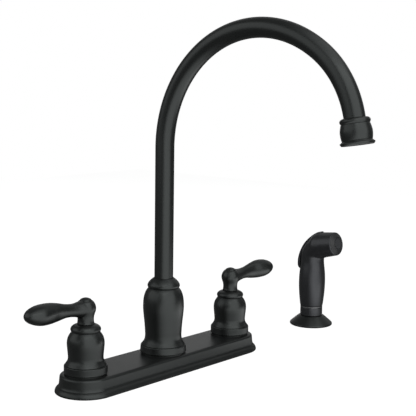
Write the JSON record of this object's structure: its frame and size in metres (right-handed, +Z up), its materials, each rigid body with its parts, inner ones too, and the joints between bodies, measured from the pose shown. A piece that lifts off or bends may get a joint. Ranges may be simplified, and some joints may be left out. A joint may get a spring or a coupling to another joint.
{
  "type": "two-handle kitchen faucet",
  "caption": "Deck-mounted kitchen faucet: hot and cold lever valves on a long base plate, a tall swivelling gooseneck spout and a separate pull-out side sprayer.",
  "frame": {"origin": "on the sink deck, under the middle of the spout: the underside of the base plate is z = 0", "axes": "+Z up, +X to the user's right towards the cold lever and the sprayer, -Y towards the user and the spout's outlet"},
  "size_m": [0.4452, 0.2565, 0.3845],
  "materials": {
    "black_finish": "matte black, satin highlights",
    "black_plastic": "matte black to match the metal",
    "nozzle_grey": "soft rubbery plastic",
    "trim_metal": "dark satin",
    "brass": "machined",
    "copper": "drawn copper tube",
    "steel": "machined",
    "rubber": "moulded",
    "acetal": "moulded",
    "ceramic": "lapped ceramic",
    "zinc": "bare casting"
  },
  "bodies": {
    "faucet_base": {"cold_bell": "black_finish", "cold_bonnet_nut": "brass", "cold_cartridge_housing": "brass", "cold_cross_tube": "copper", "cold_fixed_disc": "ceramic", "cold_seat_washer": "rubber", "cold_valve_body": "brass", "deck_gasket": "rubber", "deck_plate": "black_finish", "diverter_body": "acetal", "diverter_spring": "steel", "holder_gasket": "rubber", "holder_nut": "acetal", "hose_nipple": "brass", "hot_bell": "black_finish", "hot_bonnet_nut": "brass", "hot_cartridge_housing": "brass", "hot_cross_tube": "copper", "hot_fixed_disc": "ceramic", "hot_seat_washer": "rubber", "hot_valve_body": "brass", "mounting_nuts": "brass", "mounting_washers": "steel", "spout_hub": "brass", "spout_retaining_nut": "brass", "spout_urn": "black_finish", "sprayer_holder": "black_finish"},
    "hot_handle": {"hot_lever": "black_finish", "hot_stem": "brass", "hot_stem_oring": "rubber", "hot_turning_disc": "ceramic", "hot_handle_screw": "steel", "hot_cap_button": "black_finish"},
    "cold_handle": {"cold_lever": "black_finish", "cold_stem": "brass", "cold_stem_oring": "rubber", "cold_turning_disc": "ceramic", "cold_handle_screw": "steel", "cold_cap_button": "black_finish"},
    "spout": {"spout_tube": "black_finish", "spout_shank": "brass", "spout_orings": "rubber", "spout_wear_ring": "acetal", "outlet_collar": "black_finish", "aerator_housing": "black_finish", "aerator_washer": "rubber", "aerator_screen": "black_plastic"},
    "diverter_valve": {"diverter_poppet": "acetal"},
    "sprayer_coupling": {"spray_coupling": "black_plastic", "spray_trim_ring": "trim_metal", "coupling_oring": "rubber"},
    "sprayer_wand": {"wand_shell": "black_plastic", "wand_waterway": "acetal", "nozzle_ring": "nozzle_grey", "spray_disc": "nozzle_grey", "trigger_pin": "steel", "valve_spring": "steel", "swivel_clip": "steel"},
    "sprayer_trigger": {"spray_trigger": "black_plastic"},
    "sprayer_plunger": {"spray_plunger": "acetal"}
  },
  "joints": [
    {"name": "spout_swivel", "type": "hinge", "parent": "faucet_base", "child": "spout", "pos_m": [0, 0, 0.05], "axis": [0, 0, 1], "continuous": true},
    {"name": "hot_lever_turn", "type": "hinge", "parent": "faucet_base", "child": "hot_handle", "pos_m": [-0.1016, 0, 0.05], "axis": [0, 0, 1], "range_deg": [0, 90]},
    {"name": "cold_lever_turn", "type": "hinge", "parent": "faucet_base", "child": "cold_handle", "pos_m": [0.1016, 0, 0.05], "axis": [0, 0, -1], "range_deg": [0, 90]},
    {"name": "diverter_slide", "type": "slide", "parent": "faucet_base", "child": "diverter_valve", "axis": [0, 0, 1], "range_m": [0, 0.0025], "stiffness_N_per_m": 120, "springref_m": -0.001, "deforming": ["diverter_spring"]},
    {"name": "sprayer_lift", "type": "slide", "parent": "faucet_base", "child": "sprayer_coupling", "axis": [0, 0, 1], "range_m": [0, 0.12]},
    {"name": "sprayer_swivel", "type": "hinge", "parent": "sprayer_coupling", "child": "sprayer_wand", "pos_m": [0.2507, 0, 0.025], "axis": [0, 0, 1], "continuous": true},
    {"name": "trigger_press", "type": "hinge", "parent": "sprayer_wand", "child": "sprayer_trigger", "pos_m": [0.2507, -0.0095, 0.1046], "axis": [-1, 0, 0], "range_deg": [0, 5], "stiffness_Nm_per_rad": 2, "springref_deg": -5.73},
    {"name": "plunger_slide", "type": "slide", "parent": "sprayer_wand", "child": "sprayer_plunger", "axis": [0, -1, 0], "range_m": [0, 0.003], "deforming": ["valve_spring"]}
  ],
  "couplings": [
    {"joint": "plunger_slide", "follows": "trigger_press", "m_per_rad": 0.0326}
  ]
}
